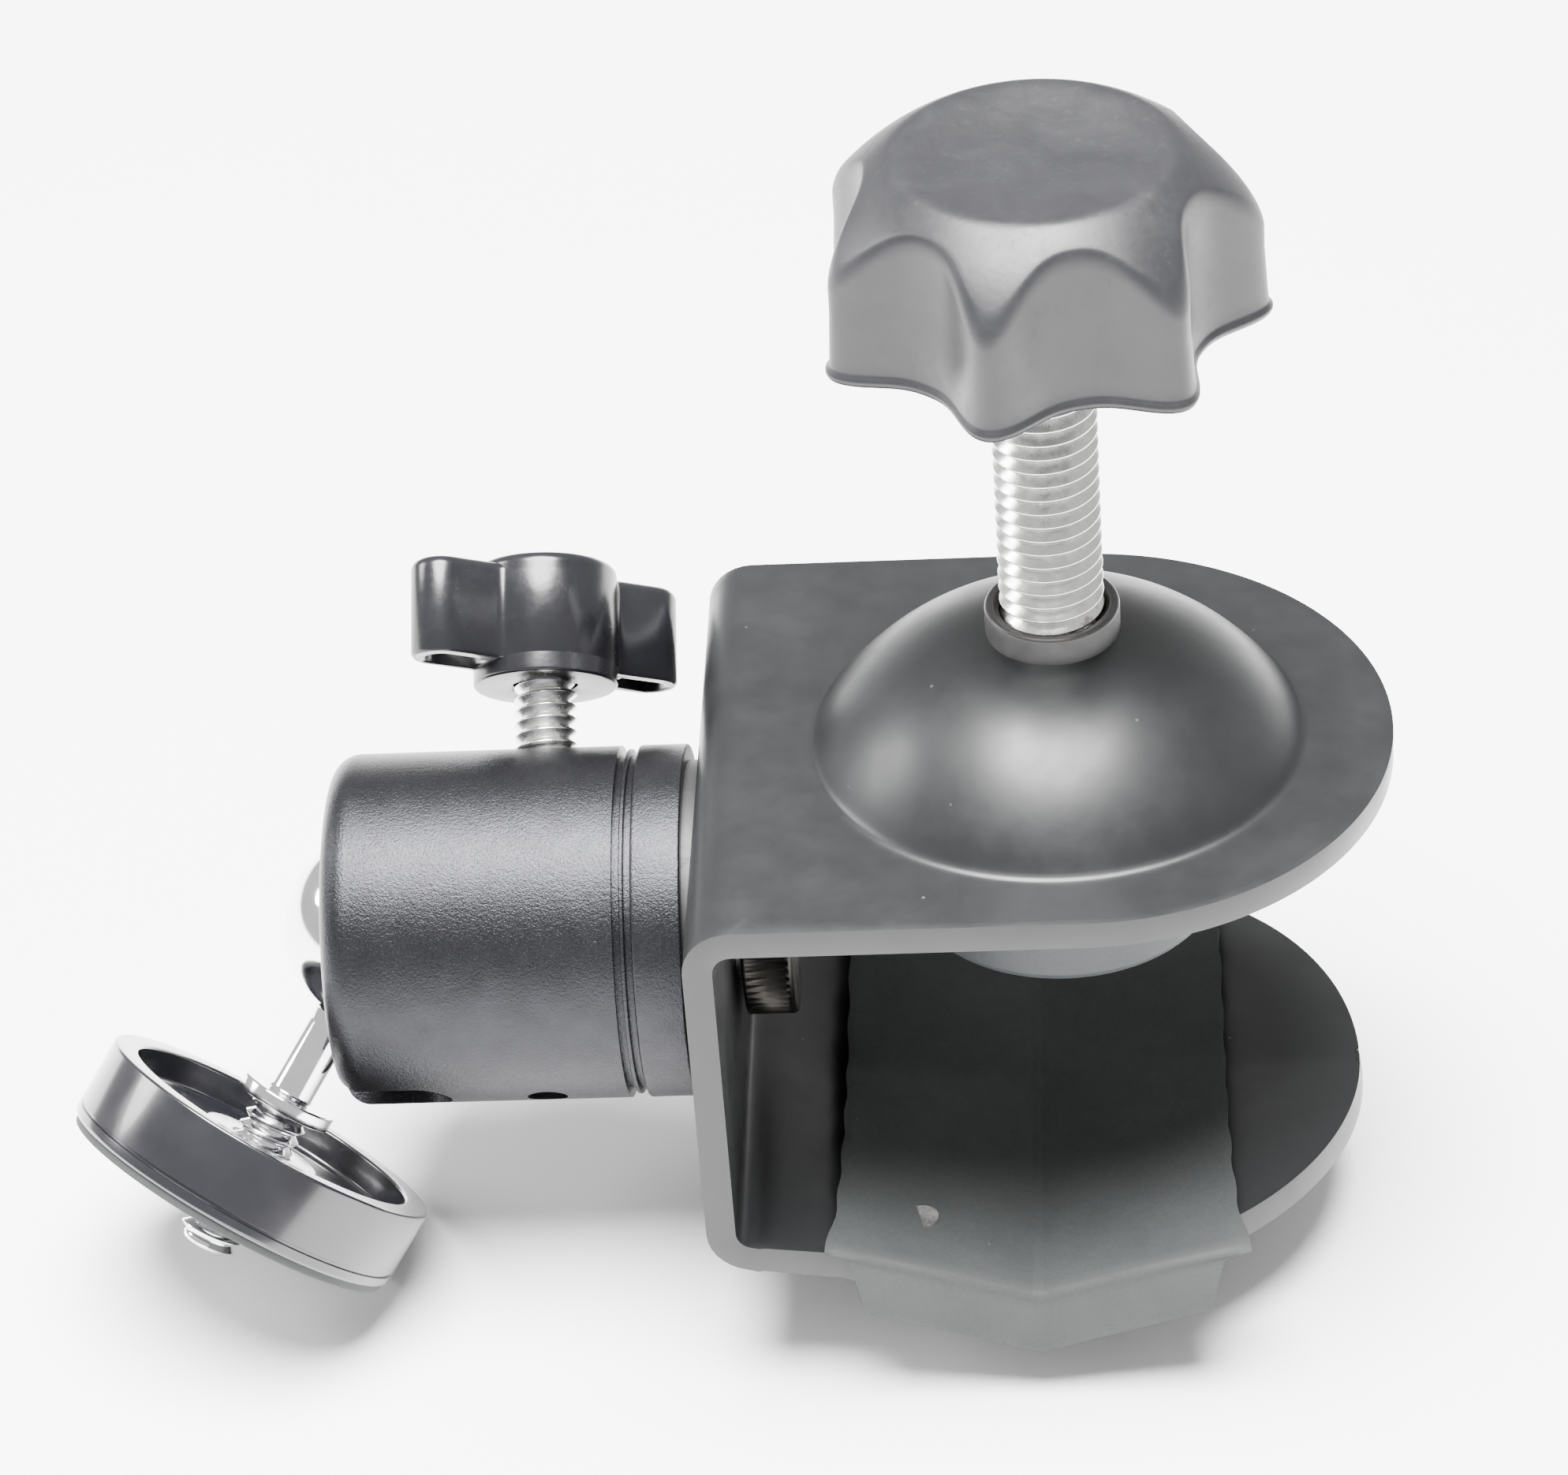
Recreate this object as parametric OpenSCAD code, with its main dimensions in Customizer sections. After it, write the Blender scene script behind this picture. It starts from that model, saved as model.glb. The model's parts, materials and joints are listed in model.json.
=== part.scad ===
// Super clamp: a stamped U bracket with a clamp screw, and a small ball head on its back.
// Origin: where the clamp screw's axis meets the lower jaw pad. +Z runs up the clamp screw,
// -X points out along the ball head, -Y faces the user.

/* [Bracket] */
// Depth of the bent strip, front to back
strip_w = 60; // [56:1:64]
// Thickness of the sheet steel
sheet = 2.8; // [2.4:0.1:3.2]
// Distance from the clamp screw to the outer face of the back plate
back_reach = 35; // [34:0.5:37]
// Outer height of the back plate
back_h = 41; // [40:0.5:44]
// Outer radius of the two bends
bend_r = 4.6; // [4:0.2:5]
// Centre of the round end of the upper plate, measured from the clamp screw
upper_end_x = 2; // [1:0.5:3]
// Centre of the round end of the lower jaw, measured from the clamp screw
lower_end_x = -1; // [-2:0.5:0]

/* [Dome] */
// Radius of the pressed dome where it meets the plate
dome_r = 23.5; // [22:0.5:24]
// Height of the dome above the plate
dome_h = 13; // [11:0.5:14]

/* [Lower jaw] */
// Place of the V's valley, measured from the clamp screw
valley_x = -3.5; // [-5:0.5:-2]
// Thickness of the rubber pad on the lower jaw
pad_t = 2.4; // [2:0.1:3]
// Left edge of the pad
pad_x0 = -22.4; // [-24:0.1:-21]
// Right edge of the pad
pad_x1 = 15.3; // [14:0.1:17]
// How far the pad's end lips hang down from its top surface
lip_h = 7; // [6:0.1:7.5]
// Thickness of the pad's end lips
lip_t = 2.5; // [2:0.1:3]

/* [Clamp screw] */
// Major diameter of the clamp screw (M10 x 1.5)
screw_d = 10; // [10]
// Height of the threaded collar's top above the plate
collar_top = 14.4; // [14:0.2:16]
// Outer diameter of the threaded collar
collar_d = 12.8; // [12:0.2:14]
// Number of lobes on the clamp knob
knob_lobes = 7; // [5:1:9]
// Diameter across the knob's lobes
knob_d = 42.6; // [40:0.2:44]
// Height of the clamp knob, underside to dish
knob_h = 18; // [16:0.5:20]
// Height of the knob's underside above the plate, as drawn
knob_z = 45.4; // [44:0.2:54]
// Diameter of the round rubber foot
foot_d = 31; // [28:0.5:32]
// Depth of the foot's underside below the plate's top surface, as drawn
foot_z = 19.2; // [16:0.2:20]

/* [Ball head] */
// Depth of the ball head's axis below the plate's top surface
head_drop = 22.2; // [21:0.1:23]
// Outer diameter of the ball head's housing
head_d = 34.6; // [33:0.2:36]
// Distance from the back plate to the housing's mouth
head_len = 36.4; // [35:0.1:37]
// Roll of the ball head about its own axis, as drawn
head_roll = 50; // [0:1:90]
// Ball radius
ball_r = 10; // [10]
// Depth of the ball's centre behind the mouth
ball_depth = 4.4; // [4.2:0.1:4.6]
// Distance from the back plate to the lock screw's axis
lock_x = 16; // [15.5:0.1:16.5]
// Turn of the lock knob's wings about the lock screw, as drawn
lock_turn = 36; // [0:1:90]

/* [Platform] */
// Tilt of the ball stem away from the housing's axis, as drawn
stem_tilt = 58; // [0:1:58]
// Side that the stem tilts to, as a turn about the housing's axis
stem_side = 35; // [0:1:45]
// Diameter of the platform disc
disc_d = 35.4; // [34:0.2:36]
// Thickness of the platform disc
disc_t = 8.2; // [8:0.2:10]
// Distance from the ball's centre to the disc's rim
disc_at = 22.5; // [22:0.1:24]
// Length of stud that stands out of the platform
stud_out = 4.8; // [4:0.1:6]
// Major diameter of the camera thread and the lock screw (1/4 inch, 20 turns per inch)
quarter_d = 6.35; // [6.35]

/* [Hidden] */
$fn = 96;
eps = 0.01;
run_gap = 0.05;         // radial clearance of every turning fit
half_w = strip_w / 2;
back_x = -back_reach;   // outer face of the back plate
inner_r = bend_r - sheet;
lap = 0.2;              // the flat stretches run this far into the bends
strip_x0 = back_x + bend_r - lap;

// Top surface of the lower jaw along its middle, as depths below the plate's top surface.
jaw_end_x = lower_end_x + half_w;
jaw_line = [[back_x, -back_h + sheet], [back_x + bend_r, -back_h + sheet], [pad_x0, -43],
    [valley_x, -45.6], [pad_x1, -42.4], [jaw_end_x + 1, -41]];
// Rise of that surface from the middle to each side: nothing at the bend and in the valley.
rise_line = [[back_x, 0], [back_x + bend_r, 0], [pad_x0, 3.6], [valley_x, 0], [pad_x1, 2.2], [jaw_end_x + 1, 2.2]];
plate_z = -(lookup(0, jaw_line) + pad_t);
function jaw_z(x, y) = plate_z + lookup(x, jaw_line) + lookup(x, rise_line) * abs(y) / half_w;

// Ball head stations along its axis.
head_z = plate_z - head_drop;
spacer_t = 1.4;
flange_t = 4.8;
groove_w = 1.8;
mouth_x = back_x - head_len;
ball_x = mouth_x + ball_depth;
lock_at = back_x - lock_x;
head_r = head_d / 2;
cavity_r = ball_r + 0.25;
spigot_r = 12;
spigot_end = back_x - 12.5;
seat_back = ball_x + ball_r + 1;
plunger_x0 = seat_back + 0.1;
plunger_x1 = spigot_end - 0.6;
lock_r = quarter_d / 2;

module at_plate() { translate([0, 0, plate_z]) children(); }
module at_head() { translate([0, 0, head_z]) rotate([-head_roll, 0, 0]) children(); }
module along_head(x) { translate([x, 0, 0]) rotate([0, -90, 0]) children(); }
module at_lock() { at_head() translate([lock_at, 0, 0]) children(); }
module at_stem() {
    translate([ball_x, 0, head_z]) rotate([-stem_side, 0, 0]) rotate([0, 270 - stem_tilt, 0]) children();
}

// A solid between two surfaces over a grid of stations: top and bottom are offsets of the jaw's surface.
module jaw_slab(xs, ys, low, high) {
    nx = len(xs);
    ny = len(ys);
    points = concat([for (y = ys, x = xs) [x, y, jaw_z(x, y) + low]],
        [for (y = ys, x = xs) [x, y, jaw_z(x, y) + high]]);
    function id(i, j, k) = k * nx * ny + j * nx + i;
    polyhedron(points, concat(
        [for (j = [0:ny - 2], i = [0:nx - 2], t = [0, 1]) t == 0
            ? [id(i, j, 0), id(i + 1, j, 0), id(i + 1, j + 1, 0)]
            : [id(i, j, 0), id(i + 1, j + 1, 0), id(i, j + 1, 0)]],
        [for (j = [0:ny - 2], i = [0:nx - 2], t = [0, 1]) t == 0
            ? [id(i, j, 1), id(i + 1, j + 1, 1), id(i + 1, j, 1)]
            : [id(i, j, 1), id(i, j + 1, 1), id(i + 1, j + 1, 1)]],
        [for (i = [0:nx - 2]) [id(i, 0, 1), id(i + 1, 0, 1), id(i + 1, 0, 0), id(i, 0, 0)]],
        [for (i = [0:nx - 2]) [id(i, ny - 1, 0), id(i + 1, ny - 1, 0), id(i + 1, ny - 1, 1), id(i, ny - 1, 1)]],
        [for (j = [0:ny - 2]) [id(0, j, 0), id(0, j + 1, 0), id(0, j + 1, 1), id(0, j, 1)]],
        [for (j = [0:ny - 2]) [id(nx - 1, j, 1), id(nx - 1, j + 1, 1), id(nx - 1, j + 1, 0),
            id(nx - 1, j, 0)]]));
}

// Outline of a plate with a round end, from the bend to the tip.
module strip_outline(end_x, height) {
    translate([end_x, 0, 0]) cylinder(r = half_w, h = height);
    translate([strip_x0, -half_w, 0]) cube([end_x - strip_x0, strip_w, height]);
}

module bend(z, low) {
    translate([back_x + bend_r, half_w, z]) rotate([90, 0, 0]) intersection() {
        difference() {
            cylinder(r = bend_r, h = strip_w);
            translate([0, 0, -1]) cylinder(r = inner_r, h = strip_w + 2);
        }
        translate([-bend_r - 1, low ? -bend_r - 1 : 0, -1]) cube([bend_r + 1, bend_r + 1, strip_w + 2]);
    }
}

// Dome: a spherical cap of sheet whose foot runs out into the plate.
dome_R = (dome_r * dome_r + dome_h * dome_h) / (2 * dome_h);
module dome_shell() {
    intersection() {
        translate([0, 0, dome_h - dome_R]) difference() {
            sphere(r = dome_R);
            sphere(r = dome_R - sheet);
        }
        translate([0, 0, -sheet + eps]) cylinder(r = dome_r, h = dome_h + sheet + 1);
    }
}

rivet_places = [[-14.6, -24], [7.6, 24]];
rivet_shank = 1.6;
module rivet_holes() {
    for (p = rivet_places) translate([p.x, p.y, jaw_z(p.x, p.y) - 10])
        cylinder(r = rivet_shank + run_gap, h = 20, $fn = 32);
}

module bracket() {
    color([0.06, 0.06, 0.065]) difference() {
        union() {
            at_plate() translate([0, 0, -sheet]) difference() {
                strip_outline(upper_end_x, sheet);
                translate([0, 0, -1]) cylinder(r = dome_r - 1, h = sheet + 2);
            }
            at_plate() dome_shell();
            bend(plate_z - bend_r, false);
            bend(plate_z - back_h + bend_r, true);
            translate([back_x, -half_w, plate_z - back_h + bend_r - lap])
                cube([sheet, strip_w, back_h - 2 * bend_r + 2 * lap]);
            intersection() {
                jaw_slab([strip_x0, pad_x0, valley_x, pad_x1, jaw_end_x + 1], [-half_w, 0, half_w],
                    -sheet, 0);
                translate([0, 0, jaw_z(valley_x, 0) - 2 * sheet]) strip_outline(lower_end_x, back_h);
            }
        }
        at_plate() cylinder(d = collar_d, h = 40, center = true);
        translate([0, 0, head_z]) along_head(back_x + sheet + 1) cylinder(r = fix_hole_r, h = sheet + 2);
        rivet_holes();
    }
}

// Threaded collar pressed through the dome: the nut of the clamp screw.
collar_len = 10;
module screw_bushing() {
    color([0.05, 0.05, 0.05]) at_plate() difference() {
        union() {
            translate([0, 0, collar_top - collar_len]) cylinder(d = collar_d, h = collar_len);
            translate([0, 0, collar_top - collar_len]) cylinder(r = collar_d / 2 + 2, h = 2);
        }
        cylinder(r = screw_d / 2 + run_gap, h = 40, center = true);
    }
}

// Rubber pad: a slab that follows the V, with a lip over the front and the back edge of the jaw.
module jaw_pad() {
    xs = [pad_x0, valley_x, pad_x1];
    color([0.03, 0.035, 0.035]) difference() {
        union() {
            jaw_slab(xs, [-half_w - lip_t, -half_w, 0, half_w, half_w + lip_t], 0, pad_t);
            for (s = [-1, 1]) {
                y0 = s * (half_w + (s > 0 ? 0 : lip_t));
                jaw_slab([pad_x0 + 0.8, valley_x, pad_x1 - 0.8], [y0, y0 + lip_t], pad_t - lip_h, pad_t - 0.5);
            }
        }
        rivet_holes();
    }
}

// Two rivets hold the pad: a shank through pad and jaw, sunk just under the pad's surface, domed below.
rivet_head_r = 2.6;
rivet_drop = 1.2;       // the head clears the sloping jaw by this much at its middle
rivet_sunk = 0.7;
module pad_rivets() {
    head_at = -sheet - rivet_drop;
    color([0.78, 0.78, 0.76]) for (p = rivet_places) translate([p.x, p.y, jaw_z(p.x, p.y)]) {
        translate([0, 0, head_at - 0.3]) cylinder(r = rivet_shank, h = pad_t - rivet_sunk - head_at + 0.3, $fn = 32);
        translate([0, 0, head_at]) intersection() {
            sphere(r = rivet_head_r, $fn = 32);
            translate([0, 0, -4]) cylinder(r = 4, h = 4, $fn = 32);
        }
    }
}

// Screw that holds the ball head on the back plate, seen from inside the jaw.
fix_head_r = 9.5;
fix_head_h = 5;
fix_end = back_x - 10.5;
fix_hole_r = 3.4;
washer_t = 0.8;
module head_fixing_screw() {
    inner = back_x + sheet + washer_t;
    color([0.07, 0.07, 0.07]) translate([0, 0, head_z]) difference() {
        union() {
            along_head(inner + fix_head_h) cylinder(r = fix_head_r, h = fix_head_h);
            along_head(inner) cylinder(r = lock_r, h = inner - fix_end);
        }
        translate([inner + fix_head_h - 1.6, -fix_head_r - 1, -0.8]) cube([3, 2 * fix_head_r + 2, 1.6]);
    }
}

module spring_washer() {
    color([0.55, 0.55, 0.55]) translate([0, 0, head_z]) difference() {
        along_head(back_x + sheet + washer_t) difference() {
            cylinder(r = 5.6, h = washer_t);
            translate([0, 0, -1]) cylinder(r = lock_r + 0.2, h = 3);
        }
        translate([back_x + sheet - 1, -0.4, 0]) cube([3, 0.8, 8]);
    }
}

module spacer_washer() {
    color([0.04, 0.04, 0.04]) translate([0, 0, head_z]) along_head(back_x) difference() {
        cylinder(r = head_r - 1.6, h = spacer_t);
        translate([0, 0, -1]) cylinder(r = lock_r + 0.2, h = spacer_t + 2);
    }
}

// Clamp screw: M10 rod whose lower end is a ball that turns in the foot.
tip_r = 4.2;
neck_r = 3;
neck_len = 5.5;
tip_up = 8.4;           // the ball's centre above the foot's underside
knob_floor = 6;         // plastic left above the end of the screw
tip_z = -foot_z + tip_up;
module clamp_screw() {
    rod_z = tip_z + neck_len;
    color([0.75, 0.75, 0.74]) at_plate() {
        translate([0, 0, tip_z]) sphere(r = tip_r, $fn = 48);
        translate([0, 0, tip_z]) cylinder(r = neck_r, h = neck_len + 0.5);
        translate([0, 0, rod_z]) cylinder(d = screw_d, h = knob_z + knob_h - knob_floor - rod_z);
    }
}

// Lobed knob: the outline is a circle with a seven-fold wave, broad lobes and narrower scallops.
knob_wave = 2.4;
function lobe_r(a) = knob_d / 2 - knob_wave + knob_wave * (cos(knob_lobes * a) + 0.16 * cos(2 * knob_lobes * a))
    - 0.16 * knob_wave;
knob_dome_R = 25;       // the top falls away to the lobes on this sphere
knob_dome_top = 21.5;   // top of that sphere above the underside, cut flat at knob_h
dish_r = 12;
dish_deep = 1.2;
dish_R = (dish_r * dish_r + dish_deep * dish_deep) / (2 * dish_deep);
module clamp_knob() {
    steps = knob_lobes * 20;
    color([0.05, 0.05, 0.055]) at_plate() translate([0, 0, knob_z]) difference() {
        intersection() {
            linear_extrude(knob_h) polygon([for (i = [0:steps - 1]) let (a = 360 * i / steps)
                lobe_r(a) * [cos(a), sin(a)]]);
            translate([0, 0, knob_dome_top - knob_dome_R]) sphere(r = knob_dome_R, $fn = 180);
        }
        translate([0, 0, knob_h - dish_deep + dish_R]) sphere(r = dish_R, $fn = 180);
        translate([0, 0, -1]) cylinder(d = screw_d, h = knob_h - knob_floor + 1);
    }
}

// Foot: a steel cup that holds the screw's ball, with the rubber moulded round its lower half.
cup_r = foot_d / 2 - 2.2;
cup_up = 2.6;           // rubber below the cup
socket_r = 7.2;
socket_top = 9.8;
module foot_cup() {
    color([0.6, 0.6, 0.6]) at_plate() translate([0, 0, -foot_z]) difference() {
        union() {
            translate([0, 0, cup_up]) cylinder(r = cup_r, h = 2);
            translate([0, 0, cup_up]) cylinder(r = socket_r, h = socket_top - cup_up);
        }
        translate([0, 0, tip_up]) sphere(r = tip_r + run_gap, $fn = 48);
        translate([0, 0, tip_up]) cylinder(r = tip_r + run_gap, h = 5);
    }
}

module foot_rubber() {
    color([0.09, 0.095, 0.1]) at_plate() translate([0, 0, -foot_z]) difference() {
        union() {
            translate([0, 0, 0.8]) cylinder(r = foot_d / 2, h = 4.9);
            cylinder(r1 = foot_d / 2 - 0.8, r2 = foot_d / 2, h = 0.8);
        }
        translate([0, 0, cup_up]) cylinder(r = cup_r, h = 2);
        translate([0, 0, cup_up + 1.9]) cylinder(r = cup_r - 1, h = 4);
    }
}

// Snap ring over the screw's neck: it keeps the ball in the cup.
module foot_snap_ring() {
    color([0.5, 0.5, 0.5]) at_plate() translate([0, 0, -foot_z + socket_top]) difference() {
        cylinder(r = 6, h = 1);
        translate([0, 0, tip_up - socket_top]) sphere(r = tip_r + run_gap, $fn = 48);
        translate([0, 0, -1]) cylinder(r = neck_r + 0.3, h = 3);
    }
}

// Base of the ball head: flange, narrow neck that shows as a groove, and a threaded spigot.
module head_base() {
    color([0.07, 0.07, 0.075]) at_head() difference() {
        union() {
            along_head(back_x - spacer_t) cylinder(r = head_r, h = flange_t);
            along_head(back_x - spacer_t) cylinder(r = head_r - 1, h = flange_t + groove_w);
            along_head(back_x - spacer_t - flange_t - 0.65) cylinder(r = head_r - 0.35, h = 0.5);
            along_head(back_x - spacer_t) cylinder(r = spigot_r, h = back_x - spacer_t - spigot_end);
        }
        along_head(back_x + 1) cylinder(r = lock_r + run_gap, h = 20);
    }
}

mouth_r = 12.4;
throat = 2.8;
throat_r = 9.6;
notch_w = 7;
notch_deep = 11;
lip_round = 2.6;
module housing() {
    rear = back_x - spacer_t - flange_t - groove_w;
    len = rear - mouth_x;
    color([0.06, 0.06, 0.065]) at_head() difference() {
        along_head(rear) rotate_extrude() difference() {
            union() {
                square([head_r - lip_round, len]);
                square([head_r, len - lip_round]);
                translate([head_r - lip_round, len - lip_round]) circle(r = lip_round);
            }
            translate([-head_r, 0]) square([head_r, len + 1]);
        }
        along_head(rear + 1) cylinder(r = spigot_r, h = rear + 1 - spigot_end);
        along_head(rear + 1) cylinder(r = cavity_r, h = rear + 1 - ball_x);
        translate([ball_x, 0, 0]) sphere(r = ball_r + run_gap);
        along_head(ball_x) cylinder(r = throat_r, h = 10);
        along_head(ball_x - throat) cylinder(r1 = throat_r, r2 = mouth_r, h = ball_depth - throat);
        along_head(mouth_x + eps) cylinder(r = mouth_r, h = 1);
        translate([lock_at, 0, 0]) cylinder(r = lock_r + run_gap, h = head_r + 1);
        translate([lock_at, 0, 0]) rotate([180, 0, 0]) cylinder(r = 2, h = head_r + 1);
        translate([mouth_x - 1, -notch_w / 2, -head_r - 1])
            cube([notch_deep - notch_w / 2 + 1, notch_w, head_r + 1]);
        translate([mouth_x + notch_deep - notch_w / 2, 0, 0]) rotate([180, 0, 0])
            cylinder(d = notch_w, h = head_r + 1);
    }
}

// Plunger that the lock screw wedges against the ball's seat.
cone_r = 2.4;
cone_h = 2;
tip_end = 1.6;
module plunger() {
    color([0.7, 0.6, 0.35]) at_head() difference() {
        along_head(plunger_x1) cylinder(r = ball_r + 0.1, h = plunger_x1 - plunger_x0);
        translate([lock_at, 0, tip_end + cone_h]) cylinder(r = lock_r + 0.5, h = 20);
        translate([lock_at, 0, tip_end - 0.4]) cylinder(r1 = cone_r - cone_h + 0.6, r2 = cone_r + 0.8,
            h = cone_h + 0.4 + eps);
    }
}

module ball_seat() {
    color([0.85, 0.85, 0.82]) at_head() difference() {
        along_head(seat_back) cylinder(r = ball_r + 0.05, h = 6.2);
        translate([ball_x, 0, 0]) sphere(r = ball_r + run_gap);
    }
}

// Brass tip on the lock screw: it doesn't turn with the screw.
tip_top = 9;
tip_pin_r = 1.2;
module lock_tip() {
    color([0.75, 0.6, 0.3]) at_lock() {
        translate([0, 0, tip_end]) cylinder(r1 = cone_r - cone_h, r2 = cone_r, h = cone_h);
        translate([0, 0, tip_end + cone_h]) cylinder(r = cone_r, h = tip_top - tip_end - cone_h);
        translate([0, 0, tip_top]) cylinder(r = tip_pin_r, h = 2.5);
    }
}

lock_knob_at = 24;
lock_knob_h = 12.3;
module lock_screw() {
    color([0.75, 0.75, 0.75]) at_lock() difference() {
        translate([0, 0, tip_top + 0.1]) cylinder(r = lock_r, h = lock_knob_at + 9 - tip_top - 0.1);
        translate([0, 0, tip_top - 1]) cylinder(r = tip_pin_r + run_gap, h = 3.8);
    }
}

// Wing knob: a round hub with two hollow-bottomed wings.
hub_r = 7.2;
wing_tip = 14.8;
wing_w = 6;
wing_up = 1.6;
wing_h = 9.9;
wing_wall = 1.3;
pocket_w = wing_w - 2 * wing_wall;
pocket_h = 7;
module lock_knob() {
    wing_mid = wing_tip - wing_w / 2;
    color([0.05, 0.05, 0.055]) at_lock() translate([0, 0, lock_knob_at]) rotate([0, 0, lock_turn])
        difference() {
            union() {
                cylinder(r = hub_r, h = lock_knob_h);
                for (s = [-1, 1]) translate([0, 0, wing_up]) {
                    translate([s * wing_mid, 0, 0]) cylinder(d = wing_w, h = wing_h);
                    translate([s > 0 ? 0 : -wing_mid, -wing_w / 2, 0]) cube([wing_mid, wing_w, wing_h]);
                }
            }
            for (s = [-1, 1]) translate([0, 0, wing_up - 1]) {
                translate([s * wing_mid, 0, 0]) cylinder(d = pocket_w, h = pocket_h + 1);
                translate([s > 0 ? hub_r + 0.6 : -wing_mid, -pocket_w / 2, 0])
                    cube([wing_mid - hub_r - 0.6, pocket_w, pocket_h + 1]);
            }
            translate([0, 0, -1]) cylinder(r = lock_r, h = 10);
        }
}

// Ball, stem, small flange and camera stud, turned from one bar.
stem_r = 2.2;
flange_at = 19;
disc_face = disc_at + disc_t;
rubber_t = 0.8;
stud_low_r = 2.9;       // mean radius of the thread below the platform, where the disc runs on it
module ball_stem() {
    color([0.85, 0.85, 0.86]) at_stem() {
        sphere(r = ball_r);
        cylinder(r = stem_r, h = flange_at + 0.5);
        translate([0, 0, flange_at]) cylinder(r = 5, h = 1.5);
        translate([0, 0, flange_at + 1]) cylinder(r = stud_low_r, h = disc_face + rubber_t - flange_at - 1);
        translate([0, 0, disc_face + rubber_t]) cylinder(r = lock_r, h = stud_out);
    }
}

// Platform disc: a shallow cup, open toward the ball.
cup_deep = 3.2;
rim_w = 2.6;
insert_r = 6.25;
barrel_r = 4.6;
module platform_disc() {
    color([0.05, 0.05, 0.06]) at_stem() translate([0, 0, disc_at]) difference() {
        cylinder(r = disc_d / 2, h = disc_t);
        translate([0, 0, -1]) cylinder(r = disc_d / 2 - rim_w, h = cup_deep + 1);
        cylinder(r = barrel_r, h = 20);
    }
}

module disc_insert() {
    color([0.8, 0.8, 0.8]) at_stem() translate([0, 0, disc_at]) difference() {
        union() {
            translate([0, 0, cup_deep - 1]) cylinder(r = insert_r, h = 1 - eps);
            translate([0, 0, cup_deep - 1]) cylinder(r = barrel_r, h = disc_t - cup_deep + 1);
        }
        cylinder(r = lock_r + run_gap, h = 20);
    }
}

module platform_pad() {
    color([0.06, 0.06, 0.06]) at_stem() translate([0, 0, disc_face]) difference() {
        cylinder(r = disc_d / 2 - 0.5, h = rubber_t);
        translate([0, 0, -1]) cylinder(r = barrel_r, h = 5);
    }
}

bracket();
screw_bushing();
jaw_pad();
pad_rivets();
head_fixing_screw();
spring_washer();
spacer_washer();
clamp_screw();
clamp_knob();
foot_cup();
foot_rubber();
foot_snap_ring();
head_base();
housing();
plunger();
ball_seat();
lock_tip();
lock_screw();
lock_knob();
ball_stem();
platform_disc();
disc_insert();
platform_pad();
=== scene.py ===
"""Looks of the super clamp with ball head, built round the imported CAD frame.

Lengths are millimetres until a mesh is made.
"""
import json
from math import asin, ceil, cos, degrees, exp, hypot, pi, radians, sin, sqrt, tan

import bmesh
import bpy
from mathutils import Matrix, Vector


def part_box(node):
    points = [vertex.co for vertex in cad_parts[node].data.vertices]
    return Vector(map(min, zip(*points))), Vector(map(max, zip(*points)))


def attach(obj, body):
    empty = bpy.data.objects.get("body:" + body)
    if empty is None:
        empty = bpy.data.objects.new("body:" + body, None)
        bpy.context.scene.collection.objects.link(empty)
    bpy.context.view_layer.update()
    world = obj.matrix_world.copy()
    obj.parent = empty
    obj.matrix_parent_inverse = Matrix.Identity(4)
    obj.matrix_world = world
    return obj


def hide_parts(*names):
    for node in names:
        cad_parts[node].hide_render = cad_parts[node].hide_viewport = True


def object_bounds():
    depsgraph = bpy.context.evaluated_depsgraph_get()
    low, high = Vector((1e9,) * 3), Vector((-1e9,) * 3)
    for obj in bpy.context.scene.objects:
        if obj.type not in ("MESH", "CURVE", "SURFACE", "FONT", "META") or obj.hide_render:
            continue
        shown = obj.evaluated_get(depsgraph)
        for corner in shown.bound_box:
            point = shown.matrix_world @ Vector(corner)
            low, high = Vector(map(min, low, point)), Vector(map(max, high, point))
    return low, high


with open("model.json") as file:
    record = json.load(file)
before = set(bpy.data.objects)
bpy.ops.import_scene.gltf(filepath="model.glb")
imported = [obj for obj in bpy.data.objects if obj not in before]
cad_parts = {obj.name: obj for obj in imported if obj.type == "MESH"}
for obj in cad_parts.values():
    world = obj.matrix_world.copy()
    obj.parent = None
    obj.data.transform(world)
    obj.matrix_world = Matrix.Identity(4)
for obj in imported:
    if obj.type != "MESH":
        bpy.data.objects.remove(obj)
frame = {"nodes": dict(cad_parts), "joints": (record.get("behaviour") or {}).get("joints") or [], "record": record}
CAD_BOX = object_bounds()
MM = 0.001
TURN = 2 * pi

# ---------------------------------------------------------------- places taken from the frame
JOINT = {j["name"]: j for j in frame["joints"]}


def box_mm(node):
    low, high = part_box(node)
    return low / MM, high / MM


def joint_point(name):
    return Vector(JOINT[name]["pos_m"]) / MM


def joint_axis(name):
    return Vector(JOINT[name]["axis"]).normalized()


SHEET = 2.8                                      # sheet steel thickness
BRACKET_LOW, BRACKET_HIGH = box_mm("bracket")
HALF_W = BRACKET_HIGH.y                          # half the strip's width
BACK_X = BRACKET_LOW.x                           # outer face of the back plate
DOME_H, DOME_R = 13.0, 23.5                      # pressed dome: height and radius at its foot
PLATE_Z = BRACKET_HIGH.z - DOME_H                # top surface of the upper plate
UPPER_END_X = BRACKET_HIGH.x - HALF_W            # centre of the upper plate's round end
LOWER_END_X = -1.0                               # centre of the lower jaw's round end
BACK_H = 41.0                                    # outer height of the back plate
BEND_R = 4.6                                     # outer radius of the bends

HEAD_Z = joint_point("head_pan").z
BALL = joint_point("ball_swing")
STEM_AXIS = joint_axis("disc_turn")
LOCK_AXIS = joint_axis("lock_turn")
LOCK_X = joint_point("lock_turn").x


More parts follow.
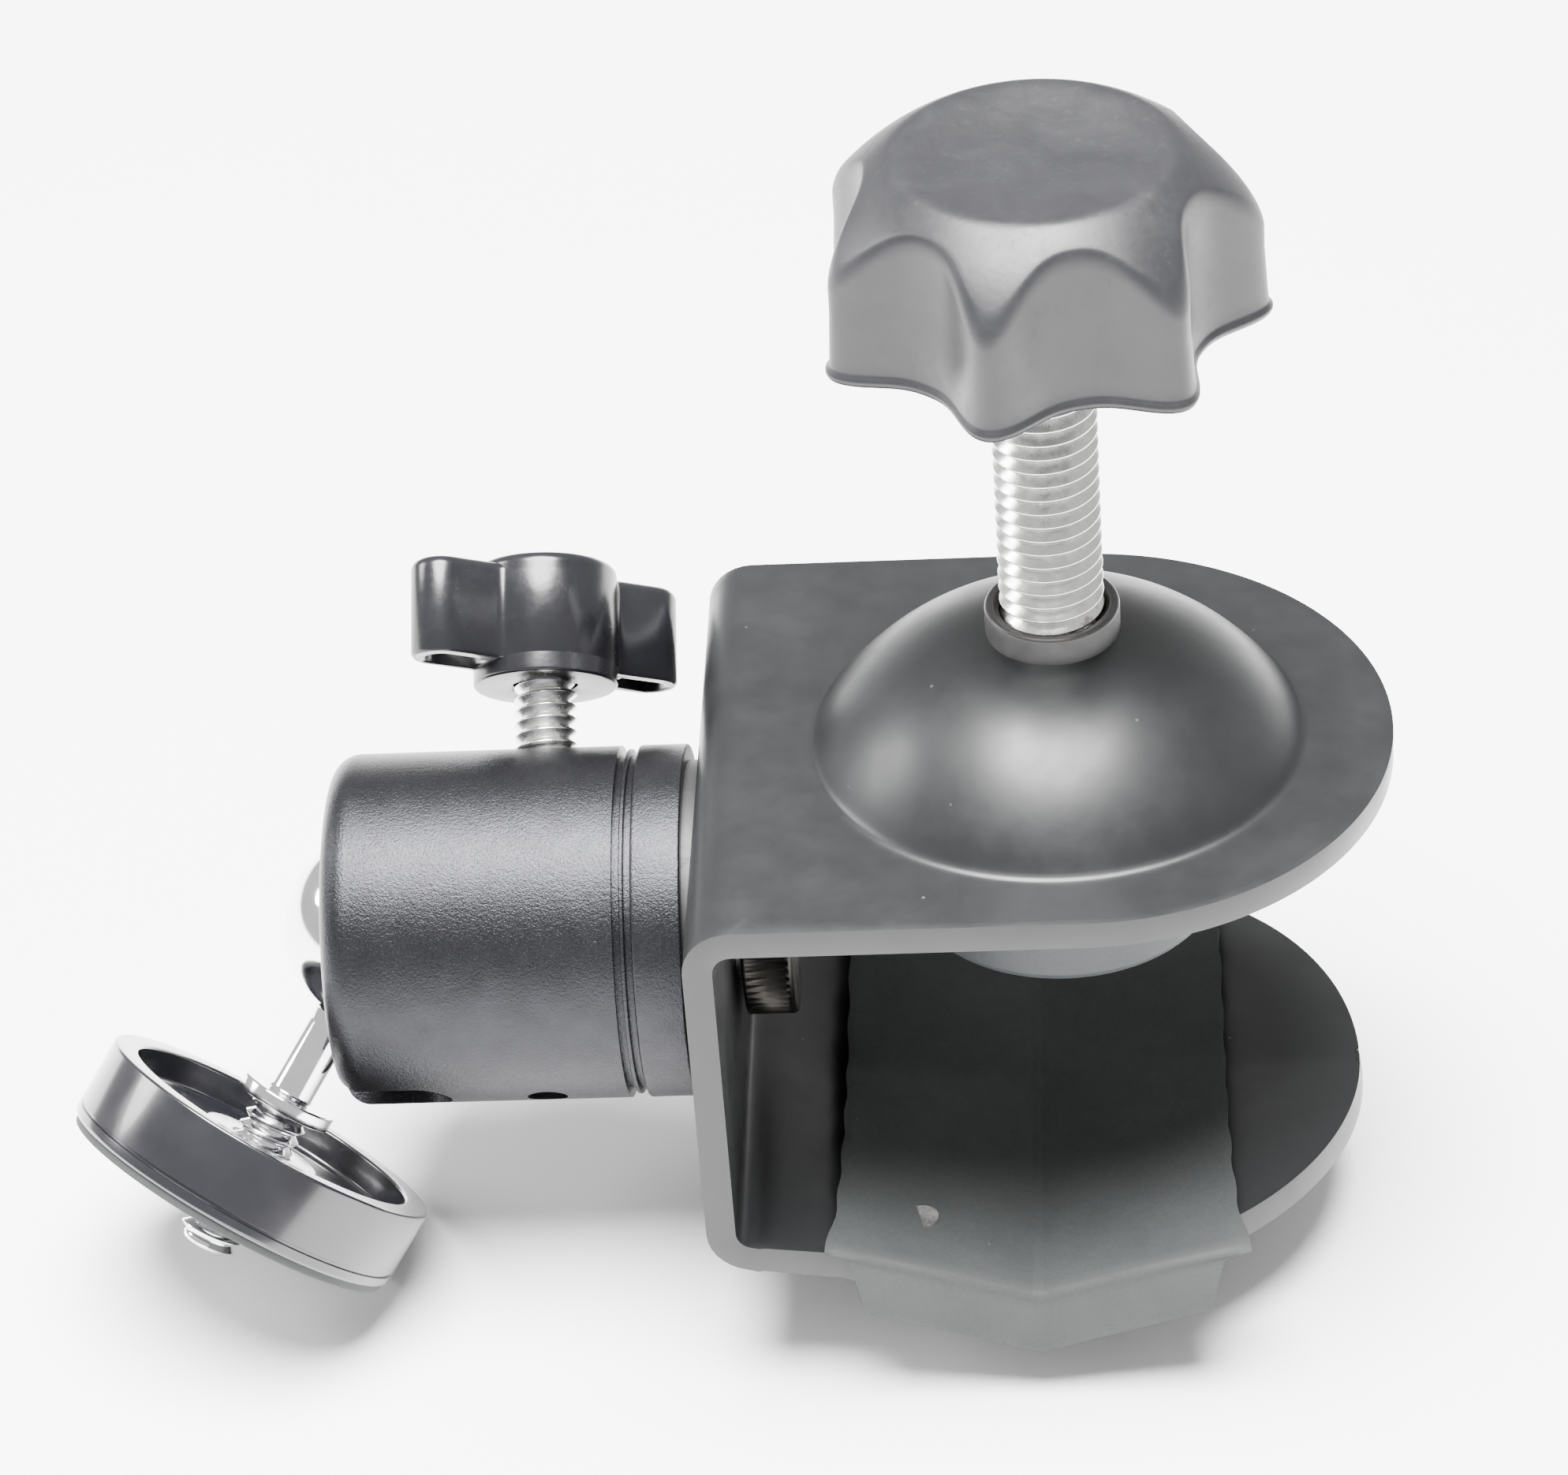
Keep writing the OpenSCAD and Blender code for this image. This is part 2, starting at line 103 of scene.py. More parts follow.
# ---------------------------------------------------------------- mesh helpers
def make(name, points, faces, place=None, sharp=38.0):
    """A mesh object from points in millimetres. Edges bent by more than sharp degrees stay crisp."""
    mesh = bpy.data.meshes.new(name)
    place = place or Matrix.Identity(4)
    mesh.from_pydata([(place @ Vector(p)) * MM for p in points], [], faces)
    bm = bmesh.new()
    bm.from_mesh(mesh)
    bmesh.ops.remove_doubles(bm, verts=bm.verts, dist=2e-6)
    bmesh.ops.dissolve_degenerate(bm, dist=1e-6, edges=bm.edges)
    bmesh.ops.recalc_face_normals(bm, faces=bm.faces)
    bm.to_mesh(mesh)
    bm.free()
    piece = bpy.data.objects.new(name, mesh)
    bpy.context.scene.collection.objects.link(piece)
    crisp(piece, sharp)
    return piece


def ring_faces(rows, count, closed=False):
    """Faces between rings of count points. closed joins the last ring to the first."""
    faces = []
    for i in range(rows if closed else rows - 1):
        for k in range(count):
            j, m = (i + 1) % rows, (k + 1) % count
            faces.append((i * count + k, i * count + m, j * count + m, j * count + k))
    return faces


def crisp(piece, angle):
    """Shades a piece smooth, apart from its edges bent by more than angle degrees."""
    bm = bmesh.new()
    bm.from_mesh(piece.data)
    for face in bm.faces:
        face.smooth = True
    for edge in bm.edges:
        if len(edge.link_faces) == 2:
            edge.smooth = edge.calc_face_angle(0) < radians(angle)
    bm.to_mesh(piece.data)
    bm.free()


def apply_modifiers(piece):
    """Turns the modifiers of a piece into its own mesh."""
    graph = bpy.context.evaluated_depsgraph_get()
    mesh = bpy.data.meshes.new_from_object(piece.evaluated_get(graph))
    piece.modifiers.clear()
    old, piece.data = piece.data, mesh
    bpy.data.meshes.remove(old)


def bevel(piece, width, angle, segments):
    """Rounds the edges bent by more than angle degrees."""
    mod = piece.modifiers.new("edge", "BEVEL")
    mod.width = width * MM
    mod.segments = segments
    mod.limit_method = "ANGLE"
    mod.angle_limit = radians(angle)
    apply_modifiers(piece)
    crisp(piece, 50)


def cut(piece, tool):
    """Takes the tool's shape out of a piece and deletes the tool."""
    mod = piece.modifiers.new("cut", "BOOLEAN")
    mod.operation = "DIFFERENCE"
    mod.solver = "EXACT"
    mod.object = tool
    apply_modifiers(piece)
    mesh = tool.data
    bpy.data.objects.remove(tool)
    bpy.data.meshes.remove(mesh)


def along(origin, axis, side=Vector((1, 0, 0))):
    """Places local +Z along axis, and local +X as near side as it can be."""
    z = Vector(axis).normalized()
    y = z.cross(side)
    if y.length < 1e-6:
        y = z.cross(Vector((0, 1, 0)))
    y.normalize()
    x = y.cross(z)
    turn = Matrix((x, y, z)).transposed().to_4x4()
    return Matrix.Translation(origin) @ turn


def round_corners(corners, closed):
    """A polyline of (r, z) points from (r, z, fillet radius) corners."""
    out = []
    count = len(corners)
    for i, (r, z, fillet) in enumerate(corners):
        p = Vector((r, z))
        if fillet <= 0 or (not closed and i in (0, count - 1)):
            out.append(p)
            continue
        a = Vector(corners[i - 1][:2]) - p
        b = Vector(corners[(i + 1) % count][:2]) - p
        half = a.angle(b) / 2
        cut_back = min(fillet / tan(half), 0.49 * min(a.length, b.length))
        a.normalize()
        b.normalize()
        radius = cut_back * tan(half)
        centre = p + (a + b).normalized() * (radius / sin(half))
        first = p + a * cut_back - centre
        sweep = first.angle_signed(p + b * cut_back - centre, 0)
        steps = max(2, ceil(abs(degrees(sweep)) / 15))
        for k in range(steps + 1):
            turn = Matrix.Rotation(-sweep * k / steps, 2)
            out.append(centre + turn @ first)
    return out


def turned(name, corners, place, closed=False, sides=128, ripple=None):
    """A turned piece. corners are (r, z, fillet); ripple(angle, r, z) may add to the radius."""
    line = round_corners(corners, closed)
    points = []
    for p in line:
        for k in range(sides):
            a = TURN * k / sides
            r = p.x + (ripple(a, p.x, p.y) if ripple else 0)
            points.append((r * cos(a), r * sin(a), p.y))
    return make(name, points, ring_faces(len(line), sides, closed), place)


def thread_profile(major, pitch, depth):
    """One thread as (height, radius) points from one crest to the next."""
    crest, root = major / 2, major / 2 - depth
    return [(0.0, crest - 0.06 * depth), (0.07 * pitch, crest), (0.14 * pitch, crest - 0.06 * depth),
            (0.46 * pitch, root + 0.1 * depth), (0.54 * pitch, root), (0.62 * pitch, root + 0.1 * depth)]


def screw_thread(name, major, pitch, z0, z1, place, depth, chamfer=0.6, sides=72):
    """A right-hand screw thread with flat, chamfered ends."""
    profile = thread_profile(major, pitch, depth)
    turns = ceil((z1 - z0) / pitch) + 2
    steps, per = turns * sides, len(profile)
    points, faces = [], []
    for i in range(steps + 1):
        a = TURN * i / sides
        base = z0 + (i / sides - 2) * pitch
        for dz, r in profile:
            z = min(max(base + dz, z0), z1)
            r = min(r, major / 2 - chamfer + (z - z0), major / 2 - chamfer + (z1 - z))
            points.append((r * cos(a), r * sin(a), z))
    for i in range(steps):
        for j in range(per - 1):
            faces.append((i * per + j, (i + 1) * per + j, (i + 1) * per + j + 1, i * per + j + 1))
        if i + sides < steps:
            up = (i + sides) * per
            faces.append((i * per + per - 1, (i + 1) * per + per - 1, up + per, up))
    faces = [f for f in faces if any(points[v][2] > z0 for v in f) and any(points[v][2] < z1 for v in f)]
    rod = make(name, points, faces, place, sharp=60)
    end_caps(rod)
    return rod


def end_caps(rod):
    """Closes each flat end of a thread with one round face."""
    bm = bmesh.new()
    bm.from_mesh(rod.data)
    bmesh.ops.holes_fill(bm, edges=[e for e in bm.edges if e.is_boundary], sides=0)
    bmesh.ops.recalc_face_normals(bm, faces=bm.faces)
    bm.to_mesh(rod.data)
    bm.free()


def join(name, pieces):
    """Several meshes as one object; they may pass through each other."""
    bm = bmesh.new()
    for piece in pieces:
        bm.from_mesh(piece.data)
    mesh = bpy.data.meshes.new(name)
    bm.to_mesh(mesh)
    bm.free()
    for piece in pieces:
        old = piece.data
        bpy.data.objects.remove(piece)
        bpy.data.meshes.remove(old)
    whole = bpy.data.objects.new(name, mesh)
    bpy.context.scene.collection.objects.link(whole)
    return whole


# ---------------------------------------------------------------- materials
class Nodes:
    """Short calls for building a node material."""

    def __init__(self, name, **sockets):
        self.material = bpy.data.materials.new(name)
        self.material.use_nodes = True
        self.tree = self.material.node_tree
        self.shader = self.tree.nodes["Principled BSDF"]
        for key, value in sockets.items():
            self.shader.inputs[key.replace("_", " ")].default_value = value
        self.place = self.add("ShaderNodeTexCoord").outputs["Object"]

    def add(self, kind, **values):
        node = self.tree.nodes.new(kind)
        for key, value in values.items():
            setattr(node, key, value)
        return node

    def link(self, a, b):
        self.tree.links.new(a, b)

    def noise(self, size_mm, detail=3.0, rough=0.55, distortion=0.0):
        node = self.add("ShaderNodeTexNoise")
        self.link(self.place, node.inputs["Vector"])
        node.inputs["Scale"].default_value = 1 / (size_mm * MM)
        node.inputs["Detail"].default_value = detail
        node.inputs["Roughness"].default_value = rough
        node.inputs["Distortion"].default_value = distortion
        return node.outputs["Fac"]

    def cells(self, size_mm):
        node = self.add("ShaderNodeTexVoronoi")
        self.link(self.place, node.inputs["Vector"])
        node.inputs["Scale"].default_value = 1 / (size_mm * MM)
        return node.outputs["Distance"]

    def ramp(self, value, low, high, start=0.0, end=1.0):
        """Maps low...high to start...end, and holds the ends outside it."""
        node = self.add("ShaderNodeMapRange")
        self.link(value, node.inputs["Value"])
        for key, number in zip(("From Min", "From Max", "To Min", "To Max"), (low, high, start, end)):
            node.inputs[key].default_value = number
        return node.outputs["Result"]

    def math(self, how, a, b):
        node = self.add("ShaderNodeMath", operation=how)
        for socket, value in zip(node.inputs, (a, b)):
            if isinstance(value, (int, float)):
                socket.default_value = value
            else:
                self.link(value, socket)
        return node.outputs[0]

    def mix(self, fac, a, b):
        node = self.add("ShaderNodeMix", data_type="RGBA")
        self.link(fac, node.inputs["Factor"])
        for socket, value in ((node.inputs["A"], a), (node.inputs["B"], b)):
            if isinstance(value, tuple):
                socket.default_value = (*value, 1)
            else:
                self.link(value, socket)
        return node.outputs["Result"]

    def colour(self, socket):
        self.link(socket, self.shader.inputs["Base Color"])

    def roughness(self, socket):
        self.link(socket, self.shader.inputs["Roughness"])

    def bump(self, height, strength, depth_mm):
        """Adds a layer of bumps over those already there."""
        node = self.add("ShaderNodeBump")
        node.inputs["Strength"].default_value = strength
        node.inputs["Distance"].default_value = depth_mm * MM
        self.link(height, node.inputs["Height"])
        last = self.shader.inputs["Normal"]
        if last.is_linked:
            self.link(last.links[0].from_socket, node.inputs["Normal"])
        self.link(node.outputs["Normal"], last)


def paint():
    """Satin black enamel on sheet steel, with dust specks and rubbed, paler patches."""
    m = Nodes("bracket_paint", Metallic=0.0, IOR=1.45, Coat_Weight=0.1, Coat_Roughness=0.25)
    cloud = m.noise(14, 4)
    fleck = m.ramp(m.cells(5.5), 0.035, 0.02)
    base = m.mix(cloud, (0.004, 0.0044, 0.0048), (0.0068, 0.0074, 0.008))
    m.colour(m.mix(fleck, base, (0.06, 0.065, 0.065)))
    m.roughness(m.ramp(m.noise(6, 5, 0.6), 0.3, 0.7, 0.34, 0.46))
    m.bump(m.noise(0.9, 2), 0.12, 0.05)
    m.bump(m.noise(0.12, 2), 0.1, 0.02)
    return m.material


def black_steel():
    """Blackened steel with a worn, patchy oxide."""
    m = Nodes("collar_oxide", Metallic=0.0, IOR=1.5)
    m.colour(m.mix(m.noise(2, 4), (0.01, 0.01, 0.011), (0.035, 0.032, 0.03)))
    m.roughness(m.ramp(m.noise(1, 4), 0.3, 0.7, 0.3, 0.5))
    m.bump(m.noise(0.3, 3), 0.2, 0.03)
    return m.material


def rubber(name, dark, light, rough=0.72):
    """Moulded rubber: fine pores, dusty mottling and a few pale specks."""
    m = Nodes(name, Metallic=0.0, IOR=1.5)
    mottle = m.noise(9, 5, 0.65)
    grain = m.noise(0.35, 3)
    fleck = m.ramp(m.cells(4.0), 0.045, 0.025)
    base = m.mix(m.math("MULTIPLY", mottle, grain), dark, light)
    m.colour(m.mix(fleck, base, (0.06, 0.065, 0.065)))
    m.roughness(m.ramp(mottle, 0.3, 0.7, rough - 0.08, rough + 0.08))
    m.bump(grain, 0.35, 0.05)
    m.bump(m.noise(0.1, 2), 0.2, 0.02)
    return m.material


def zinc():
    """Bright zinc plate with duller streaks, and rust low on the clamp screw just above its collar."""
    m = Nodes("zinc", Metallic=1.0)
    streak = m.noise(1.6, 5, 0.6)
    clean = m.mix(streak, (0.62, 0.62, 0.6), (0.86, 0.86, 0.84))
    split = m.add("ShaderNodeSeparateXYZ")
    m.link(m.place, split.inputs[0])
    low = (PLATE_Z + DOME_H) * MM
    above = m.ramp(split.outputs["Z"], low + 5 * MM, low)
    below = m.ramp(split.outputs["Z"], low - 2 * MM, low - MM)
    band = m.math("MULTIPLY", above, below)
    rust = m.math("MULTIPLY", band, m.ramp(m.noise(1.8, 4), 0.52, 0.62))
    m.colour(m.mix(rust, clean, (0.16, 0.07, 0.03)))
    m.roughness(m.math("ADD", m.ramp(streak, 0.3, 0.7, 0.16, 0.34), m.math("MULTIPLY", rust, 0.4)))
    m.bump(m.noise(0.25, 3), 0.15, 0.03)
    return m.material


def plastic(name, dark, light, rough, peel_mm, peel):
    """Moulded plastic: an orange-peel skin, faint flow marks and handling scuffs."""
    m = Nodes(name, Metallic=0.0, IOR=1.5)
    flow = m.noise(7, 4, 0.6, 1.0)
    m.colour(m.mix(flow, dark, light))
    scuff = m.ramp(m.noise(1.1, 6, 0.7), 0.55, 0.75, 0.0, 0.25 * rough)
    m.roughness(m.math("ADD", m.ramp(flow, 0.3, 0.7, rough - 0.05, rough + 0.05), scuff))
    m.bump(m.noise(peel_mm, 2), peel, 0.05)
    m.bump(m.noise(0.15, 2), 0.08, 0.02)
    return m.material


def anodised():
    """Bead-blasted, black anodised aluminium: it sparkles where light grazes it."""
    m = Nodes("anodised", Metallic=0.85, IOR=1.5)
    grit = m.noise(0.16, 2)
    m.colour(m.mix(m.noise(3, 3), (0.016, 0.016, 0.018), (0.03, 0.03, 0.034)))
    m.roughness(m.ramp(grit, 0.3, 0.7, 0.26, 0.4))
    m.bump(grit, 0.8, 0.06)
    m.bump(m.noise(0.34, 2), 0.5, 0.08)
    return m.material


def gloss_black():
    """Glossy black lacquer with faint waves."""
    m = Nodes("disc_gloss", Metallic=0.0, IOR=1.55, Coat_Weight=0.6, Coat_Roughness=0.08)
    cloud = m.noise(5, 4)
    m.colour(m.mix(cloud, (0.004, 0.004, 0.005), (0.009, 0.009, 0.012)))
    m.roughness(m.ramp(cloud, 0.3, 0.7, 0.16, 0.26))
    m.bump(m.noise(0.8, 2), 0.06, 0.03)
    return m.material


def metal(name, dark, light, smooth, rough, grain_mm=0.4, strength=0.08):
    """Bare or plated metal, cloudy between two colours and two roughnesses."""
    m = Nodes(name, Metallic=1.0)
    cloud = m.noise(2.5, 4)
    m.colour(m.mix(cloud, dark, light))
    m.roughness(m.ramp(cloud, 0.3, 0.7, smooth, rough))
    m.bump(m.noise(grain_mm, 3), strength, 0.02)
    return m.material


MATERIAL = {
    "bracket_paint": paint(),
    "collar_oxide": black_steel(),
    "rubber": rubber("rubber", (0.014, 0.016, 0.0158), (0.04, 0.044, 0.043)),
    "foot_rubber": rubber("foot_rubber", (0.02, 0.023, 0.024), (0.06, 0.066, 0.07), 0.62),
    "zinc": zinc(),
    "black_oxide": metal("black_oxide", (0.02, 0.02, 0.02), (0.05, 0.045, 0.04), 0.35, 0.5),
    "spring_steel": metal("spring_steel", (0.35, 0.35, 0.35), (0.55, 0.55, 0.54), 0.3, 0.45),
    "washer_black": plastic("washer_black", (0.008, 0.008, 0.008), (0.02, 0.02, 0.02), 0.5, 0.5, 0.1),
    "knob_plastic": plastic("knob_plastic", (0.007, 0.007, 0.0082), (0.0115, 0.0115, 0.0135),
                            0.42, 0.9, 0.25),
    "lock_plastic": plastic("lock_plastic", (0.004, 0.004, 0.005), (0.009, 0.009, 0.011),
                            0.24, 1.3, 0.35),
    "anodised": anodised(),
    "brass": metal("brass", (0.55, 0.4, 0.16), (0.75, 0.58, 0.28), 0.25, 0.4),
    "nylon": plastic("nylon", (0.7, 0.7, 0.64), (0.85, 0.85, 0.8), 0.45, 0.8, 0.1),
    "chrome": metal("chrome", (0.8, 0.8, 0.82), (0.92, 0.92, 0.94), 0.05, 0.14, 1.2, 0.05),
    "disc_gloss": gloss_black(),
    "insert_nickel": metal("insert_nickel", (0.62, 0.61, 0.58), (0.85, 0.84, 0.82), 0.18, 0.32),
}


def dress(piece, slot):
    """Gives a piece the one material of its slot."""
    piece.data.materials.clear()
    piece.data.materials.append(MATERIAL[slot])


def fit(piece, body, slot, *nodes):
    """Dresses a piece, puts it on its body, and lets it stand for its CAD nodes."""
    dress(piece, slot)
    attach(piece, body)
    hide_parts(*nodes)


# ---------------------------------------------------------------- the bracket
PAD_X0, PAD_X1, VALLEY_X = -22.4, 15.3, -3.5      # the pad's two sides, and the bottom of the V
BEND_X = BACK_X + BEND_R                         # where the upper plate and the lower jaw meet their bends
JAW_END_X = LOWER_END_X + HALF_W
# Along the jaw's middle line: (x, height of its top against the upper plate's top)
JAW_LINE = [(BACK_X, SHEET - BACK_H), (BEND_X, SHEET - BACK_H), (PAD_X0, -43.0),
            (VALLEY_X, -45.6), (PAD_X1, -42.4), (JAW_END_X + 1, -41.0)]
# How far the jaw's front and back edges rise above that line
RISE_LINE = [(BACK_X, 0), (BEND_X, 0), (PAD_X0, 3.6), (VALLEY_X, 0), (PAD_X1, 2.2), (JAW_END_X + 1, 2.2)]


def look_up(x, table):
    """Height at x on a line of straight stretches."""
    if x <= table[0][0]:
        return table[0][1]
    for (xa, ya), (xb, yb) in zip(table, table[1:]):
        if x <= xb:
            return ya + (yb - ya) * (x - xa) / (xb - xa)
    return table[-1][1]


def jaw_z(x, y, soft=0.8):
    """Height of the lower jaw's top surface. soft rounds the pressed lines, as a punch leaves them."""
    line = sum(look_up(x + d, JAW_LINE) for d in (-soft, 0, soft)) / 3
    side = sqrt(y * y + soft * soft) - 0.5 * soft
    return PLATE_Z + line + look_up(x, RISE_LINE) * side / HALF_W


def dome_height(r):
    """Height of the pressed dome, a spherical cap with a small fillet round its foot."""
    ball = (DOME_R ** 2 + DOME_H ** 2) / (2 * DOME_H)
    cap = sqrt(ball ** 2 - r ** 2) - ball + DOME_H
    fillet, blend = 0.9, 0.35
    return fillet * 0.5 * (cap / fillet + sqrt((cap / fillet) ** 2 + blend))


def plate_edge(sides):
    """The upper plate's outline, from the bend line round the round end and back."""
    straight, arc = 24, 96
    reach = UPPER_END_X - BEND_X
    edge = [(BEND_X, y) for y in reversed(sides)]
    edge += [(BEND_X + reach * k / straight, -HALF_W) for k in range(1, straight + 1)]
    edge += [(UPPER_END_X + HALF_W * sin(pi * k / arc), -HALF_W * cos(pi * k / arc)) for k in range(1, arc)]
    edge += [(UPPER_END_X - reach * k / straight, HALF_W) for k in range(straight)]
    return edge


def strip_stations():
    """Rows of the strip below the plate: (x, z, share of the width). On the jaw z is left to jaw_z."""
    low_z = PLATE_Z - BACK_H
    bend, back, flat, end = 8, 16, 40, 48
    turns = [pi / 2 * k / bend for k in range(1, bend + 1)]
    stations = [(BEND_X - BEND_R * sin(a), PLATE_Z - BEND_R * (1 - cos(a)), 1.0) for a in turns]
    for k in range(1, back + 1):
        stations.append((BACK_X, PLATE_Z - BEND_R - (BACK_H - 2 * BEND_R) * k / back, 1.0))
    stations += [(BEND_X - BEND_R * cos(a), low_z + BEND_R * (1 - sin(a)), 1.0) for a in turns[:-1]]
    stations += [(BEND_X + (LOWER_END_X - BEND_X) * k / flat, None, 1.0) for k in range(flat + 1)]
    turns = [pi / 2 * k / end for k in range(1, end)]
    stations += [(LOWER_END_X + HALF_W * sin(a), None, cos(a)) for a in turns]
    stations.append((JAW_END_X, None, 0.012))
    return stations


def bracket():
    """One strip: rings round the screw for the domed plate, then rows down the back and along the jaw."""
    across, dome, fillet, outer = 48, 26, 12, 6  # rows over the strip; rings on dome, fillet and flat
    sides = [HALF_W * (2 * k / across - 1) for k in range(across + 1)]
    edge = plate_edge(sides)
    hole, foot, fillet_w = 5.4, DOME_R - 1.5, 3.3
    radii = [hole + (foot - hole) * k / dome for k in range(dome + 1)]
    radii += [foot + fillet_w * k / fillet for k in range(1, fillet + 1)]
    points = []
    for r in radii:
        for x, y in edge:
            scale = r / hypot(x, y)
            points.append((x * scale, y * scale, PLATE_Z + dome_height(r)))
    for step in range(1, outer + 1):
        for x, y in edge:
            scale = radii[-1] / hypot(x, y)
            scale += (1 - scale) * step / outer
            points.append((x * scale, y * scale, PLATE_Z))
    faces = ring_faces(len(radii) + outer, len(edge))
    last = len(points) - len(edge)
    above = [last + k for k in range(len(sides))]
    for x, z, share in strip_stations():
        row = []
        for y in reversed(sides):
            row.append(len(points))
            points.append((x, y * share, jaw_z(x, y * share) - SHEET if z is None else z))
        for k in range(len(sides) - 1):
            faces.append((above[k], above[k + 1], row[k + 1], row[k]))
        above = row
    piece = make("bracket_steel", points, faces, sharp=180)
    mod = piece.modifiers.new("sheet", "SOLIDIFY")
    mod.thickness = SHEET * MM
    mod.offset = -1
    mod.use_even_offset = True
    apply_modifiers(piece)
    bevel(piece, 0.75, 60, 3)
    fit(piece, "clamp", "bracket_paint", "bracket")


# ---------------------------------------------------------------- jaw pad
PAD_T, LIP_T, LIP_H = 2.4, 2.5, 7.0                # thickness of slab and lips, and how far the lips hang
PAD_EDGE_Y = HALF_W + LIP_T                      # outer face of the lips
PAD_FOLD = 0.9                                   # a point this far below the top is on a lip
PAD_GAP = 0.02                                   # the pad's underside stands this far off the jaw


def pad_side(x):
    """Where x lies across the pad, from -1 at the back plate's side to 1 at the open side."""
    return 2 * (x - PAD_X0) / (PAD_X1 - PAD_X0) - 1


def lip_shift(drop):
    """How far a lip's sides lie outside the slab's: less than nothing, as the lip narrows downward."""
    return -0.7 + 1.5 * drop / LIP_H


def pad_outside(x, y, drop):
    """A point of the pad's outer skin: flared corners, a moulded ridge along the valley, sagging edges."""
    side = pad_side(x)
    top = drop > -PAD_FOLD
    near = exp(-((abs(y) - PAD_EDGE_Y) / 4.0) ** 2) if top else 0.0
    front = max(0.0, -y / PAD_EDGE_Y)
    flare = 0.7 * near + (1.0 if side > 0 else 0.7) * front ** 3
    wave = 0.12 * sin(0.9 * y + 1.5 * (side + 1)) * abs(side) ** 6
    spread = flare if top else lip_shift(drop)
    x += spread * side + wave
    ridge = 0.14 * exp(-((x - VALLEY_X) / 0.22) ** 2) if top else 0.0
    sag = -0.5 * near * abs(side) ** 5
    return x, y, jaw_z(x, y, 0.25) + PAD_T + drop + ridge + sag


def pad_inside(x, y, drop):
    """The same station on the side that touches the jaw."""
    hang = max(0.0, -drop)
    depth = PAD_T if hang < 1.0 else max(hang, PAD_T)
    shift = 0.0 if drop > -PAD_FOLD else lip_shift(drop) * pad_side(x)
    y = min(max(y, -HALF_W), HALF_W)
    return x + shift, y, jaw_z(x, y, 0.25) + PAD_T - depth + PAD_GAP


def jaw_pad():
    """Rubber slab over the V, folded down at the front and back, with flared front corners."""
    across, lip, slab = 18, 8, 52
    crease, fold = 0.6, 1.0                      # sizes of the fine rows at the valley and of the fold
    xs = [PAD_X0 + (VALLEY_X - crease - PAD_X0) * k / across for k in range(across + 1)]
    xs += [VALLEY_X - crease / 2, VALLEY_X, VALLEY_X + crease / 2]
    xs += [VALLEY_X + crease + (PAD_X1 - VALLEY_X - crease) * k / across for k in range(across + 1)]
    path = [(-PAD_EDGE_Y, -LIP_H + (LIP_H - fold) * k / lip) for k in range(lip + 1)]
    path += [(-PAD_EDGE_Y + 0.3, -0.3)]
    path += [((PAD_EDGE_Y - fold) * (2 * k / slab - 1), 0) for k in range(slab + 1)]
    path += [(PAD_EDGE_Y - 0.3, -0.3)]
    path += [(PAD_EDGE_Y, -fold - (LIP_H - fold) * k / lip) for k in range(lip + 1)]
    points = []
    for y, drop in path:
        points += [pad_outside(x, y, drop) for x in xs]
        points += [pad_inside(x, y, drop) for x in reversed(xs)]
    loop = 2 * len(xs)
    faces = ring_faces(len(path), loop)
    for first in (0, (len(path) - 1) * loop):
        for k in range(len(xs) - 1):
            faces.append((first + k, first + k + 1, first + loop - 2 - k, first + loop - 1 - k))
    piece = make("jaw_pad_rubber", points, faces, sharp=50)
    bevel(piece, 0.28, 50, 2)
    fit(piece, "clamp", "rubber", "jaw_pad")


# ---------------------------------------------------------------- clamp screw, collar, knob and foot
KNOB_LOW, KNOB_HIGH = box_mm("clamp_knob")
LOBES = 7
KNOB_R = KNOB_HIGH.x - 0.05                      # radius at the lobes' tips, just inside CAD's
WAVE = 2.4                                       # half the depth from the lobes' tips to the scallops
KNOB_EDGE = 1.7                                  # radius between the lobes' walls and the knob's top
KNOB_DOME_R, KNOB_DOME_TOP = 25.0, 21.5          # the top falls away to the lobes on this sphere
DISH_R, DISH_DEEP = 12.0, 1.2


def soft_min(a, b, blend):
    """The smaller of two heights, rounded where they cross."""
    return 0.5 * (a + b - sqrt((a - b) ** 2 + blend * blend))


def knob_top(r, height):
    """Height of the knob's top: a dome cut flat, with a shallow round dish in the flat."""
    dome = KNOB_DOME_TOP - KNOB_DOME_R + sqrt(KNOB_DOME_R ** 2 - r * r)
    bowl = height - DISH_DEEP * (1 - (r / DISH_R) ** 2)
    return soft_min(soft_min(dome, height, 0.3), bowl, 0.3)


def lobe_radius(a):
    """The outline's radius: a seven-fold wave whose second part broadens the lobes."""
    second = 0.16
    return KNOB_R - WAVE + WAVE * (cos(LOBES * a) + second * cos(2 * LOBES * a)) - second * WAVE


def inset(outline, depth):
    """The outline moved inward by depth."""
    out = []
    count = len(outline)
    for i, p in enumerate(outline):
        edge = outline[(i + 1) % count] - outline[i - 1]
        normal = Vector((edge.y, -edge.x)).normalized()
        out.append(p - normal * depth)
    return out


